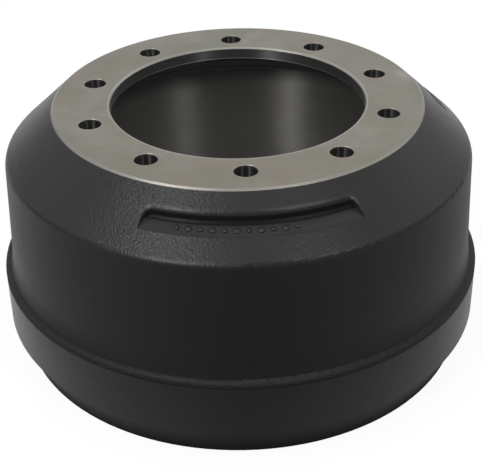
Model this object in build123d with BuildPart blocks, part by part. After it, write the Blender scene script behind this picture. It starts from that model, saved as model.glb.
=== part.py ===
from build123d import *
from math import cos, hypot, radians, sin
import os

# Brake drum for a heavy axle, cast in one piece and turned on its working faces.
# The Z axis is the axle line. The drum stands on its open end at Z = 0, and the face that bolts to
# the hub looks up. Lengths are in millimetres and angles in degrees.

# Mounting flange, from the pilot bore outwards
overall_height = 242.0
pilot_diameter = 239.5
pilot_to_bolt_centre = 23.125
bolt_centre_to_flange_edge = 31.725
flange_thickness = 12.0
flange_edge_break = 1.6
pilot_edge_break = 1.2
underside_edge_break = 0.8

# Bolt holes
bolt_hole_diameter = 20.7
bolt_hole_count = 10
bolt_hole_edge_break = 0.6
first_bolt_angle = -90.0

# Working bore and the walls around it, each measured out from the bore
friction_diameter = 419.1
mouth_chamfer = 3.0
barrel_wall = 11.75
lip_top_wall = 16.95
lip_foot_wall = 9.95

# Barrel, from the shoulder down: it drafts outwards, flares a little more near its foot, and
# meets the ledge on top of the band in a fillet
barrel_draft = 4.3
barrel_flare = 3.0
barrel_flare_height = 13.5
barrel_flare_blend = 60.0
barrel_foot_fillet = 5.0
ledge_width = 5.4
ledge_fall = 0.9

# Heights on the outside, from the open end up: the lip, and the band above it
lip_height = 27.5
band_underside_height = 6.5
band_face_height = 49.8
lip_edge_break = 1.6

# Cone that spreads from the flange to the barrel
shoulder_drop = 44.6
shoulder_fillet = 9.0
cone_wall = 16.0

# Unmachined strip between the working bore and the inside of the cone
recess_step = 3.05
recess_strip = 6.3
recess_chamfer = 3.0
hub_seat_chamfer = 3.0
inner_cone_chamfer = 5.0

# Shallow pockets in the cone for the casting's marks
pocket_wall_offset = 14.4
pocket_wall_height = 8.0
pocket_floor_slope = 0.375
pocket_arc = 54.9
pocket_corner_radius = 8.0
pocket_foot_chamfer = 1.5
pocket_angles = (-89.3, 30.7)

# Radii that follow from the sizes above
pilot_radius = pilot_diameter / 2
bolt_circle_radius = pilot_radius + pilot_to_bolt_centre
flange_radius = bolt_circle_radius + bolt_centre_to_flange_edge
friction_radius = friction_diameter / 2
shoulder_radius = friction_radius + barrel_wall
flare_radius = shoulder_radius + barrel_draft
barrel_foot_radius = flare_radius + barrel_flare
band_radius = barrel_foot_radius + ledge_width
lip_top_radius = friction_radius + lip_top_wall
lip_foot_radius = friction_radius + lip_foot_wall
recess_radius = friction_radius - recess_step

# Heights that follow from the sizes above
band_bottom_height = lip_height + band_underside_height
band_top_height = band_bottom_height + band_face_height
barrel_foot_height = band_top_height + ledge_fall
flare_height = barrel_foot_height + barrel_flare_height
shoulder_height = overall_height - shoulder_drop
cone_top_height = overall_height - flange_edge_break
underside_height = overall_height - flange_thickness

# The inner face of the cone runs parallel to its outer face, one wall thickness in.
cone_run = shoulder_radius - flange_radius
cone_slope = (cone_top_height - shoulder_height) / cone_run
inner_cone_top_height = cone_top_height - cone_wall * hypot(1, cone_slope)
underside_radius = flange_radius + (inner_cone_top_height - underside_height) / cone_slope
recess_height = inner_cone_top_height - (recess_radius - flange_radius) * cone_slope
recess_foot_height = recess_height - recess_strip
friction_top_height = recess_foot_height - recess_chamfer


def cone_height(radius):
    """Gives the height of the cone's outer face at a radius."""
    return cone_top_height - (radius - flange_radius) * cone_slope


def corner(sketch, radius, height):
    """Gives the corner of a section that lies nearest to a radius and a height."""
    return sketch.vertices().sort_by_distance((radius, height))[0]


# Turned section of the whole drum, drawn in the XZ plane
with BuildPart() as drum:
    with BuildSketch(Plane.XZ) as section:
        with BuildLine():
            Polyline(
                (pilot_radius, underside_height),
                (pilot_radius, overall_height),
                (flange_radius - flange_edge_break, overall_height),
                (flange_radius, cone_top_height),
                (shoulder_radius, shoulder_height),
                (flare_radius, flare_height),
                (barrel_foot_radius, barrel_foot_height),
                (band_radius, band_top_height),
                (band_radius, band_bottom_height),
                (lip_top_radius, lip_height),
                (lip_foot_radius, 0),
                (friction_radius + mouth_chamfer, 0),
                (friction_radius, mouth_chamfer),
                (friction_radius, friction_top_height),
                (recess_radius, recess_foot_height),
                (recess_radius, recess_height),
                (underside_radius, underside_height),
                close=True,
            )
        make_face()
        chamfer(corner(section, pilot_radius, overall_height), pilot_edge_break)
        chamfer(corner(section, pilot_radius, underside_height), underside_edge_break)
        chamfer(corner(section, underside_radius, underside_height), hub_seat_chamfer)
        chamfer(corner(section, lip_foot_radius, 0), lip_edge_break)
        chamfer(corner(section, recess_radius, recess_height), inner_cone_chamfer)
        fillet(corner(section, shoulder_radius, shoulder_height), shoulder_fillet)
        fillet(corner(section, flare_radius, flare_height), barrel_flare_blend)
        fillet(corner(section, barrel_foot_radius, barrel_foot_height), barrel_foot_fillet)
    revolve(axis=Axis.Z)

# One pocket as the solid that is cut away: an upright wall on the inside, a floor that runs out to
# the face of the cone, and two rounded ends.
pocket_wall_radius = flange_radius + pocket_wall_offset
pocket_wall_foot = cone_height(pocket_wall_radius) - pocket_wall_height
pocket_floor_fall = (shoulder_radius - pocket_wall_radius) * pocket_floor_slope
pocket_start = radians(-pocket_arc / 2)
pocket_start_plane = Plane(
    origin=(0, 0, 0),
    x_dir=(cos(pocket_start), sin(pocket_start), 0),
    z_dir=(sin(pocket_start), -cos(pocket_start), 0),
)
with BuildPart() as pocket:
    with BuildSketch(pocket_start_plane) as pocket_section:
        with BuildLine():
            Polyline(
                (pocket_wall_radius, pocket_wall_foot),
                (pocket_wall_radius, overall_height),
                (shoulder_radius, overall_height),
                (shoulder_radius, pocket_wall_foot - pocket_floor_fall),
                close=True,
            )
        make_face()
        chamfer(corner(pocket_section, pocket_wall_radius, pocket_wall_foot), pocket_foot_chamfer)
    revolve(axis=Axis.Z, revolution_arc=pocket_arc)
    upright_edges = pocket.edges().filter_by(Axis.Z)
    inner_edges = upright_edges.sort_by(lambda edge: hypot(edge.center().X, edge.center().Y))[:2]
    fillet(inner_edges, pocket_corner_radius)


# The pockets are cut, and then the bolt holes are drilled.
with drum:
    for angle in pocket_angles:
        add(pocket.part, rotation=(0, 0, angle), mode=Mode.SUBTRACT)
    with BuildSketch(Plane.XY.offset(overall_height)):
        with PolarLocations(bolt_circle_radius, bolt_hole_count, start_angle=first_bolt_angle):
            Circle(bolt_hole_diameter / 2)
    extrude(amount=-2 * flange_thickness, mode=Mode.SUBTRACT)
    face_edges = drum.faces().sort_by(Axis.Z)[-1].inner_wires().edges()
    hole_mouths = face_edges.filter_by(lambda edge: edge.radius < pilot_radius)
    chamfer(hole_mouths, bolt_hole_edge_break)

drum.part.label = "brake_drum"
os.makedirs("parts", exist_ok=True)
export_step(drum.part, "parts/brake_drum.step")
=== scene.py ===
import math

import bmesh
import bpy
from mathutils import Matrix, Vector


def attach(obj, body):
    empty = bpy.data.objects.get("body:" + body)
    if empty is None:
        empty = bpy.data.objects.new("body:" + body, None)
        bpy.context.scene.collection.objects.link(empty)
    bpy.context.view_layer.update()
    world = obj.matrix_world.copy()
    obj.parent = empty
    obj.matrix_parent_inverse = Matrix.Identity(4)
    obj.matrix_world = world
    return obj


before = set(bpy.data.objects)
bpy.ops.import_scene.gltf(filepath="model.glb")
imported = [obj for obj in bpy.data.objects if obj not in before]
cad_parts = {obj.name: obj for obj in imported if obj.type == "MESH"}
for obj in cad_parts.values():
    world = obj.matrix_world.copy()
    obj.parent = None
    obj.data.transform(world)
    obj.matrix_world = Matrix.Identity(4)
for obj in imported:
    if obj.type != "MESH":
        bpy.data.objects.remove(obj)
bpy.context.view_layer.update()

# The drum stands on its open end, with the axle line on Z and its front towards -Y. Lengths are
# in metres and angles in radians.

full_turn = 2 * math.pi

# ---------------------------------------------------------------- sizes of the drum

# flange, pilot and bolt holes
overall_height = 0.242
flange_radius = 0.1746
flange_edge_break = 0.0016
flange_thickness = 0.012
flange_underside = overall_height - flange_thickness
pilot_radius = 0.11975
bolt_circle_radius = 0.142875
bolt_hole_radius = 0.01035
bolt_count = 10
first_bolt = math.radians(-90)

# cone, which falls by cone_fall for each metre outwards, and band
cone_top = overall_height - flange_edge_break
cone_fall = 0.9208
shoulder_height = 0.1975
band_radius = 0.234
band_top = 0.0838

# working bore, and the unmachined strip above it
working_radius = 0.20955
working_top = 0.180
strip_foot = 0.183

# pockets in the cone
front_pocket = math.radians(-89.3)
right_pocket = math.radians(30.7)
pocket_half_arc = math.radians(54.9 / 2)
pocket_corner = 0.008
pocket_reach = 0.0147
pocket_wall_radius = 0.189
pocket_wall_foot = 0.2191
pocket_floor_slope = 0.375
pocket_roll_width = 0.0036

# pips on the front pocket's floor
pip_count = 11
pip_radii = (0.0023, 0.0031)
pip_height = 0.0017
pip_circle_radius = 0.1965
first_pip = math.radians(-107.5)
pip_step = math.radians(2.9)


# ---------------------------------------------------------------- shader sums

class Flow:
    """A number, a vector, a colour or a shader in a node tree, ready for arithmetic."""

    def __init__(self, tree, socket):
        self.tree = tree
        self.socket = socket

    def node(self, kind, inputs=None, out=0, **settings):
        """Any other node, with its inputs and its output given by name or number."""
        made = self.tree.nodes.new(kind)
        for name, value in settings.items():
            setattr(made, name, value)
        for key, value in (inputs or {}).items():
            self.feed(made.inputs[key], value)
        return Flow(self.tree, made.outputs[out])

    def feed(self, socket, value):
        if isinstance(value, Flow):
            self.tree.links.new(value.socket, socket)
        else:
            socket.default_value = value

    def finish(self, shader, kind="ShaderNodeOutputMaterial"):
        """Joins a finished shader to the tree's output."""
        self.feed(self.tree.nodes.new(kind).inputs["Surface"], shader)

    def parts(self):
        """The three numbers of a vector."""
        apart = self.tree.nodes.new("ShaderNodeSeparateXYZ")
        self.feed(apart.inputs[0], self)
        return [Flow(self.tree, socket) for socket in apart.outputs]

    def maths(self, operation, a, b=0.0, clamp=False):
        return self.node("ShaderNodeMath", {0: a, 1: b}, operation=operation, use_clamp=clamp)

    def __add__(self, other):
        return self.maths("ADD", self, other)

    def __radd__(self, other):
        return self.maths("ADD", other, self)

    def __sub__(self, other):
        return self.maths("SUBTRACT", self, other)

    def __rsub__(self, other):
        return self.maths("SUBTRACT", other, self)

    def __mul__(self, other):
        return self.maths("MULTIPLY", self, other)

    def __rmul__(self, other):
        return self.maths("MULTIPLY", other, self)

    def __truediv__(self, other):
        return self.maths("DIVIDE", self, other)

    def __rtruediv__(self, other):
        return self.maths("DIVIDE", other, self)

    def __abs__(self):
        return self.maths("ABSOLUTE", self)

    def root(self):
        return self.maths("SQRT", self)

    def sine(self):
        return self.maths("SINE", self)

    def cosine(self):
        return self.maths("COSINE", self)

    def least(self, other):
        return self.maths("MINIMUM", self, other)

    def most(self, other):
        return self.maths("MAXIMUM", self, other)

    def clamped(self):
        """Kept between 0 and 1."""
        return self.maths("ADD", self, 0.0, clamp=True)

    def wrapped(self, turn):
        """An angle brought to within half a turn of 0."""
        return self.maths("FLOORED_MODULO", self + turn / 2, turn) - turn / 2

    def over(self, edge, soft):
        """0 below the edge and 1 above it, with a soft step between."""
        return self.maths("ADD", (self - edge) / soft, 0.5, clamp=True)

    def under(self, edge, soft):
        """1 below the edge and 0 above it, with a soft step between."""
        return 1.0 - self.over(edge, soft)

    def near(self, centre, width):
        """1 at the centre, falling to 0 at width to either side."""
        return self.maths("SUBTRACT", 1.0, abs(self - centre) / width, clamp=True)

    def mix(self, factor, a, b):
        """Colour a where factor is 0 and colour b where it is 1."""
        # a Mix node takes its colours at inputs 6 and 7 and gives its colour at output 2
        return self.node("ShaderNodeMix", {0: factor, 6: a, 7: b}, out=2, data_type="RGBA")

    def blend(self, factor, a, b):
        """Shader a where factor is 0 and shader b where it is 1."""
        return self.node("ShaderNodeMixShader", {0: factor, 1: a, 2: b})


class Surface(Flow):
    """The point of a piece that is being shaded, in the piece's own coordinates."""

    def __init__(self, tree):
        super().__init__(tree, tree.nodes.new("ShaderNodeTexCoord").outputs["Object"])
        self.x, self.y, self.z = self.parts()
        self.radius = (self.x * self.x + self.y * self.y).root()
        self.angle = self.maths("ARCTAN2", self.y, self.x)

    def noise(self, scale, detail, rough):
        return self.node("ShaderNodeTexNoise", {
            "Scale": scale, "Detail": detail, "Roughness": rough, "Vector": self})

    def grains(self, scale):
        return self.node("ShaderNodeTexVoronoi", {
            "Scale": scale, "Randomness": 1.0, "Vector": self})


def emptied(owner):
    """The node tree of a new material or world, with nothing in it."""
    owner.use_nodes = True
    owner.node_tree.nodes.clear()
    return owner.node_tree


def grey(value, warm=0.0):
    """A near-neutral colour; warm leans it to yellow."""
    return (value * (1 + 0.6 * warm), value, value * (1 - 1.4 * warm), 1.0)


# ---------------------------------------------------------------- places on the drum

def hole_distance(at):
    """How far a point lies from the middle of the nearest bolt hole."""
    sector = (at.angle - first_bolt).wrapped(full_turn / bolt_count)
    across = at.radius * sector.sine()
    along = at.radius * sector.cosine() - bolt_circle_radius
    return (across * across + along * along).root()


def bare_places(at, from_hole):
    """Masks of the face, the pilot, the working bore and the bolt holes."""
    # each reaches a little way past its own edges
    sharp = 0.0003
    face = at.z.over(cone_top, sharp) * at.radius.under(flange_radius + 0.0006, sharp)
    pilot = (at.radius.under(pilot_radius + 0.00155, sharp)
             * at.z.over(flange_underside - 0.0015, 0.001))
    bore = (at.radius.under(working_radius + 0.00055, sharp)
            * at.z.under(strip_foot + 0.0004, 0.0006))
    holes = (from_hole.under(bolt_hole_radius + 0.0008, sharp)
             * at.z.over(flange_underside - 0.001, 0.001))
    return face, pilot, bore, holes


def edge_breaks_and_highlight(at, from_hole):
    """The edges of the face, lighter as bare edge breaks and as a painted highlight: brightest at
    the pilot, then at the rim and at the bolt holes.
    """
    at_pilot = at.radius.under(pilot_radius + 0.00225, 0.0009)
    at_rim = 0.8 * at.radius.over(flange_radius - 0.0019, 0.0006)
    at_holes = 0.6 * from_hole.under(bolt_hole_radius + 0.0009, 0.0004)
    return at.z.over(cone_top + 0.0001, 0.0004) * at_pilot.most(at_holes).most(at_rim)


def depth_under_cone(at):
    """How far below the cone's outer skin a point lies."""
    return cone_top - (at.radius - flange_radius) * cone_fall - at.z


def pocket_roll(at, pocket_middle):
    """How far the cone's skin rolls over beside one pocket: 0 out on the skin, 1 at the edge."""
    apart = abs((at.angle - pocket_middle).wrapped(full_turn))
    past_end = ((apart - pocket_half_arc) * pocket_wall_radius + pocket_corner).most(0.0)
    past_wall = (pocket_wall_radius + pocket_corner - at.radius).most(0.0)
    gap = (past_end * past_end + past_wall * past_wall).root() - pocket_corner
    return (1.0 - gap.most(0.0) / pocket_roll_width).clamped()


def pocket_rims(at, depth):
    """The rolled rims of both pockets, as a share of the roll's full depth."""
    rolled = pocket_roll(at, front_pocket).most(pocket_roll(at, right_pocket))
    # the roll fades where a pocket runs out, and goes a little way down the pocket's wall
    not_run_out = (1.0 - (at.radius - pocket_wall_radius) / pocket_reach).clamped()
    return rolled * rolled * not_run_out * depth.under(0.0008, 0.0006)


# ---------------------------------------------------------------- finishes of the drum, with painted shade and highlights

def black_paint(at):
    """Paint over the as-cast skin: grainy on the cone, smoother below the shoulder."""
    depth = depth_under_cone(at)
    rims = pocket_rims(at, depth)
    on_cone = at.z.over(shoulder_height, 0.005) * at.radius.over(0.17, 0.002)
    on_band = at.z.under(band_top, 0.0006)
    on_ledge = at.z.near(band_top + 0.0017, 0.005)
    in_pockets = (on_cone * depth.over(0.0012, 0.0012)
                  * at.radius.over(pocket_wall_radius + 0.0025, 0.002))
    # the cone is glossier and sandier to the left of the front
    glossy = on_cone * at.angle.near(math.radians(-116), math.radians(31))
    sandy = on_cone * depth.under(0.0009, 0.0006) * (0.32 + 0.68 * glossy) * (1.0 - rims)
    sandy = sandy.most(1.2 * on_ledge)

    cloud = at.noise(28.0, 3.0, 0.6)
    patches = at.noise(9.0, 3.0, 0.5)
    tone = 0.0035 + 0.0024 * cloud + 0.0045 * on_band + 0.0015 * on_cone
    colour = at.node("ShaderNodeCombineColor", {"Red": tone, "Green": tone, "Blue": tone * 1.06})
    colour = at.mix(in_pockets, colour, (0.0135, 0.0140, 0.0120, 1.0))
    rough = (0.37 + 0.04 * cloud + 0.10 * patches - 0.08 * on_band - 0.05 * on_cone
             - 0.05 * glossy + 0.22 * on_ledge)

    # heights on the skin, in metres
    sand = at.noise(480.0, 3.0, 0.7) * (0.0001 + 0.0003 * sandy)
    pits = at.grains(440.0) * 0.0003 * sandy
    fine = at.noise(700.0, 3.0, 0.6) * 0.0001
    lumps = at.noise(110.0, 2.0, 0.5) * 0.0003
    skin = sand - pits + fine + lumps - 0.0012 * rims * on_cone
    bump = at.node("ShaderNodeBump", {"Strength": 0.9, "Distance": 1.0, "Height": skin})

    paint = at.node("ShaderNodeBsdfPrincipled", {
        "Base Color": colour, "Roughness": rough, "Metallic": 0.0, "IOR": 1.5, "Normal": bump})
    # a dark matt coat, for dust and for painted shade
    dust_and_shade_coat = at.node("ShaderNodeBsdfPrincipled", {
        "Base Color": grey(0.012, 0.02), "Roughness": 0.9, "Specular IOR Level": 0.0})
    return at.blend(dust_and_painted_shade(at, depth, on_ledge), paint, dust_and_shade_coat)


def dust_and_painted_shade(at, depth, on_ledge):
    """Dust on the ledge; painted shade under the ledge's edge, in the pockets' corners and inside
    the cone.
    """
    # painted shadow under the ledge's edge
    shade_under_ledge = (at.z.near(band_top - 0.0009, 0.0014)
                   * at.radius.over(band_radius - 0.0005, 0.0002))
    # painted shade in the pockets' corners
    shade_in_pocket_corners = (at.radius.under(pocket_wall_radius + 0.0028, 0.0016)
                      * at.radius.over(pocket_wall_radius - 0.003, 0.001)
                      * depth.over(0.0022, 0.0016) * depth.under(0.012, 0.001))
    # painted shade inside the cone, above the working bore
    shade_inside_cone = (depth.over(0.011, 0.001) * at.z.over(strip_foot + 0.0006, 0.0006)
                   * at.radius.under(working_radius + 0.00195, 0.001))
    # only the ledge's dust is real; the rest is painted shade
    outside = (0.06 * on_ledge).most(0.75 * shade_under_ledge).most(0.85 * shade_in_pocket_corners)
    return outside.most(0.6 * shade_inside_cone)


def faced_iron(at, mottle, edges):
    """The turned face: stained and scuffed iron with fine tool rings."""
    stain = at.noise(17.0, 3.0, 0.6).over(0.52, 0.2)
    olive = at.noise(24.0, 2.0, 0.6).over(0.55, 0.16)
    scuff = (at.angle.near(math.radians(13), math.radians(7)) * at.radius.near(0.1675, 0.0075)
             * mottle.over(0.48, 0.12))
    colour = at.mix(mottle, grey(0.190, 0.085), grey(0.312, 0.10))
    colour = at.mix(0.7 * stain, colour, (0.236, 0.208, 0.168, 1.0))
    colour = at.mix(0.6 * olive, colour, (0.212, 0.218, 0.172, 1.0))
    colour = at.mix(0.8 * scuff, colour, grey(0.40, 0.05))
    # lighter edge breaks: partly bare bright iron, partly a painted highlight
    colour = at.mix(edges, colour, grey(0.34, 0.06))

    ring_spacing = 0.0011
    rings = (at.radius * (full_turn / ring_spacing)).sine() * 0.00001
    fine = at.noise(700.0, 3.0, 0.6) * 0.00004
    bump = at.node("ShaderNodeBump", {"Strength": 0.7, "Distance": 1.0, "Height": rings + fine})
    return at.node("ShaderNodeBsdfPrincipled", {
        "Base Color": colour, "Roughness": 0.40 + 0.12 * mottle - 0.1 * edges, "Metallic": 0.9,
        "Normal": bump})


def bored_iron(at, mottle, pilot, bore, holes):
    """The pilot, the working bore and the holes: iron whose sheen is drawn out along the axle."""
    # painted shadow of the flange: darker iron over the top of the working bore, reaching lower on
    # the -X side
    flange_shadow = (at.z - 0.05 * at.x).over(0.168, 0.016)
    above_bore = at.z.over(0.2, 0.01)
    # painted shade: darker still on the chamfer at the working bore's top
    bore_chamfer_shade = at.z.over(working_top + 0.0004, 0.0005) * bore
    # painted highlight: a light ring along the pilot's lower edge
    pilot_foot_highlight = at.z.near(flange_underside + 0.0003, 0.0012) * pilot
    colour = at.mix(mottle, grey(0.082, 0.03), grey(0.140, 0.06))
    colour = at.mix(flange_shadow, colour, grey(0.058, 0.02))
    colour = at.mix(above_bore, colour, grey(0.080, 0.01))
    colour = at.mix(bore_chamfer_shade, colour, grey(0.035, 0.01))
    colour = at.mix(holes, colour, grey(0.052, 0.02))
    colour = at.mix(pilot_foot_highlight, colour, grey(0.32, 0.02))
    return at.node("ShaderNodeBsdfPrincipled", {
        "Base Color": colour, "Roughness": 0.39 + 0.15 * mottle, "Metallic": 0.9,
        "Anisotropic": 1.0, "Anisotropic Rotation": 0.25})


def drum_iron():
    """Black paint over the casting, with the face, pilot, holes and working bore left bare."""
    material = bpy.data.materials.new("drum_iron")
    at = Surface(emptied(material))
    from_hole = hole_distance(at)
    face, pilot, bore, holes = bare_places(at, from_hole)
    mottle = at.noise(42.0, 4.0, 0.65)
    bored = bored_iron(at, mottle, pilot, bore, holes)
    faced = faced_iron(at, mottle, edge_breaks_and_highlight(at, from_hole))
    bare = face.most(pilot).most(bore).most(holes)
    at.finish(at.blend(bare, black_paint(at), at.blend(face, bored, faced)))
    return material


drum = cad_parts["brake_drum"]
drum.data.materials[0] = drum_iron()


# ---------------------------------------------------------------- raised marks in the front pocket

def show(name, content):
    """A new object at the origin that holds a mesh, a lamp or a camera."""
    thing = bpy.data.objects.new(name, content)
    bpy.context.scene.collection.objects.link(thing)
    return thing


def piece(name, made, material):
    """A new object with the faces of a finished bmesh and one material."""
    mesh = bpy.data.meshes.new(name)
    made.to_mesh(mesh)
    made.free()
    mesh.materials.append(material)
    return show(name, mesh)


def pocket_pips():
    """A row of plain raised pips, narrow and wide in turn, along the front pocket's floor."""
    made = bmesh.new()
    floor_height = pocket_wall_foot - (pip_circle_radius - pocket_wall_radius) * pocket_floor_slope
    on_floor = (Matrix.Translation((pip_circle_radius, 0, floor_height))
                @ Matrix.Rotation(math.atan(pocket_floor_slope), 4, "Y"))
    for number in range(pip_count):
        radius = pip_radii[number % 2]
        place = (Matrix.Rotation(first_pip + pip_step * number, 4, "Z") @ on_floor
                 @ Matrix.Diagonal((radius, radius, pip_height, 1)))
        bmesh.ops.create_uvsphere(made, u_segments=20, v_segments=10, radius=1.0, matrix=place)
    for each in made.faces:
        each.smooth = True
    return made


marks = piece("pocket_marks", pocket_pips(), drum.data.materials[0])
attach(marks, "root")


# ---------------------------------------------------------------- floor and room

def floor_sheet():
    """A wide flat sheet just under the drum."""
    made = bmesh.new()
    just_under = Matrix.Translation((0, 0, -0.0004))
    bmesh.ops.create_grid(made, x_segments=1, y_segments=1, size=6.0, matrix=just_under)
    return made


def floor_white():
    """White with the drum's soft shadow. In the drum's mirrors it glows by place, a painted
    reflection of a lit floor.
    """
    material = bpy.data.materials.new("floor_white")
    at = Surface(emptied(material))
    camera_ray = at.node("ShaderNodeLightPath", out="Is Camera Ray")
    glossy_ray = at.node("ShaderNodeLightPath", out="Is Glossy Ray")
    glass_ray = at.node("ShaderNodeLightPath", out="Is Transmission Ray")

    # painted reflection light: dimmest in front of the drum and brightest behind it, in quarter
    # turns from the front
    quarters = abs((at.angle + math.pi / 2).wrapped(full_turn)) / (math.pi / 2)
    sweep = 0.26 + 0.60 * quarters + 0.60 * (quarters - 1.0).most(0.0)
    # painted shadow under the drum's wall, painted light inside it, and brighter close outside it
    # and far away
    wall_inside = 0.200
    wall_outside = 0.230
    inside = at.radius.under(wall_inside, 0.02)
    outside = at.radius.over(wall_outside, 0.02)
    beside = at.radius.under(0.33, 0.09)
    far = at.radius.over(0.92, 0.5)
    ring = outside * (0.42 + 0.46 * beside + 0.58 * far)
    lean = 1.0 - 0.06 * at.x / at.radius
    # painted light and shadow that only mirror and glass rays see
    painted_mirror_light = (ring * sweep * lean + 0.68 * inside).least(1.0)

    matt = at.node("ShaderNodeBsdfDiffuse", {"Color": grey(0.10)})
    level = camera_ray * 0.92 + glossy_ray.most(glass_ray) * painted_mirror_light
    glow = at.node("ShaderNodeEmission", {"Color": grey(1.0), "Strength": level})
    at.finish(at.node("ShaderNodeAddShader", {0: matt, 1: glow}))
    return material


def room():
    """White to the camera. As light, a bright wall behind the drum and a dimmer ceiling."""
    world = bpy.data.worlds.new("room")
    tree = emptied(world)
    way = Flow(tree, tree.nodes.new("ShaderNodeTexCoord").outputs["Generated"])
    right, back, up = way.parts()
    camera_ray = way.node("ShaderNodeLightPath", out="Is Camera Ray")
    # dark at the wall's foot, brightest half way up and gone near the ceiling
    by_height = (up / 0.385).clamped() * ((0.9 - up) / 0.4).clamped()
    wall = 1.14 * by_height * back.over(0.0, 2.0) * (1.0 + 0.2 * right)
    ceiling = 0.44 * up.over(0.55, 0.4)
    level = (0.05 + wall + ceiling).most(camera_ray)
    glow = way.node("ShaderNodeBackground", {"Color": grey(1.0), "Strength": level})
    way.finish(glow, "ShaderNodeOutputWorld")
    bpy.context.scene.world = world


floor = piece("floor", floor_sheet(), floor_white())
room()


# ---------------------------------------------------------------- lamps

above_drum = Vector((0, 0, overall_height))
lamp_distance = 2.2


def around(turn, elevation):
    """A lamp's place, from its turn about the axle line and its angle upwards, in degrees."""
    turn = math.radians(turn)
    elevation = math.radians(elevation)
    way = Vector((math.cos(elevation) * math.cos(turn), math.cos(elevation) * math.sin(turn),
                  math.sin(elevation)))
    return above_drum + lamp_distance * way


def lamp(name, place, width, height, watts):
    """An oblong lamp that looks at the face's middle."""
    light = bpy.data.lights.new(name, "AREA")
    light.shape = "RECTANGLE"
    light.size = width
    light.size_y = height
    light.energy = watts
    thing = show(name, light)
    thing.location = place
    thing.rotation_euler = (above_drum - place).to_track_quat("-Z", "Y").to_euler()
    thing.visible_camera = False


lamp("overhead", Vector((0.0, -0.3, 2.4)), width=1.8, height=1.6, watts=3.8)
lamp("front_left", around(-125, 31), width=0.3, height=0.4, watts=13.6)
lamp("front_right", around(-59, 35), width=0.3, height=0.4, watts=7.8)
lamp("high_left", around(-150, 54), width=0.5, height=0.5, watts=5.5)


# ---------------------------------------------------------------- camera

camera_distance = 1.0949
camera_elevation = math.radians(25.15)
camera_turn = math.radians(-2.31)
camera_yaw = math.radians(0.038)
camera_pitch = math.radians(-6.820)
camera_roll = math.radians(-1.125)
sensor_width = 36.0
picture_width_pixels = 482
focal_length_pixels = 1156.9


def aim_camera():
    """A camera in front of the drum, yawed, pitched and rolled a little off the face's middle."""
    back = Vector((0, -math.cos(camera_elevation), math.sin(camera_elevation)))
    right = Vector((1, 0, 0))
    up = right.cross(-back)
    ahead = (math.tan(camera_yaw) * right + math.tan(camera_pitch) * up - back).normalized()
    right = ahead.cross(up).normalized()
    up = right.cross(ahead)
    rolled_right = math.cos(camera_roll) * right + math.sin(camera_roll) * up
    rolled_up = math.cos(camera_roll) * up - math.sin(camera_roll) * right
    axes = Matrix((rolled_right, rolled_up, -ahead)).transposed().to_4x4()
    turned = Matrix.Translation(above_drum) @ Matrix.Rotation(camera_turn, 4, "Z")

    lens = bpy.data.cameras.new("camera")
    lens.sensor_width = sensor_width
    lens.lens = focal_length_pixels / picture_width_pixels * sensor_width
    camera = show("camera", lens)
    camera.matrix_world = turned @ Matrix.Translation(camera_distance * back) @ axes
    bpy.context.scene.camera = camera


aim_camera()
bpy.context.scene.view_settings.view_transform = "Standard"
